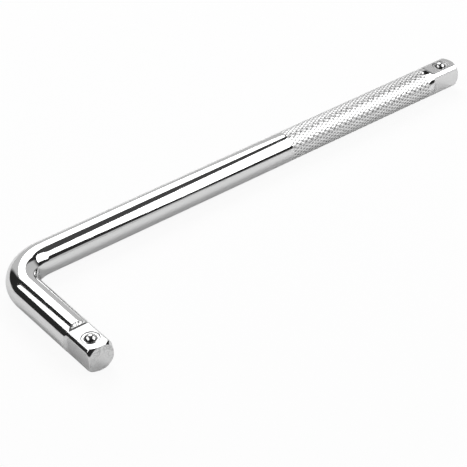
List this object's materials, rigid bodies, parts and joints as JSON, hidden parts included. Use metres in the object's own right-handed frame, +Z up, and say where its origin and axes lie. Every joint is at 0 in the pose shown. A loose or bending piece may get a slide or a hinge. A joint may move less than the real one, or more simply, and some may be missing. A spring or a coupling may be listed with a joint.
{
  "type": "l-handle wrench",
  "caption": "Chromed L-shaped drive handle: a bent round bar with a knurled grip on its long arm and a square drive with a sprung ball detent on each end.",
  "frame": {"origin": "middle of the outline's bounding box, on the table the wrench lies on", "axes": "+X along the long arm towards its drive, -Y along the short arm towards its drive, +Z up through the detent balls"},
  "size_m": [0.289, 0.0844, 0.016],
  "materials": {
    "chromed_bar": "polished chrome plate, satin on the milled ends",
    "detent_ball": "polished hardened steel",
    "spring_wire": "drawn wire, oiled"
  },
  "bodies": {
    "handle": {"handle_bar": "chromed_bar", "short_detent_spring": "spring_wire", "long_detent_spring": "spring_wire"},
    "short_ball": {"short_detent_ball": "detent_ball"},
    "long_ball": {"long_detent_ball": "detent_ball"}
  },
  "joints": [
    {"name": "short_ball_press", "type": "slide", "parent": "handle", "child": "short_ball", "axis": [0, 0, -1], "range_m": [0, 0.0017], "stiffness_N_per_m": 2500, "springref_m": -0.0005, "deforming": ["short_detent_spring"]},
    {"name": "long_ball_press", "type": "slide", "parent": "handle", "child": "long_ball", "axis": [0, 0, -1], "range_m": [0, 0.0017], "stiffness_N_per_m": 2500, "springref_m": -0.0005, "deforming": ["long_detent_spring"]}
  ]
}
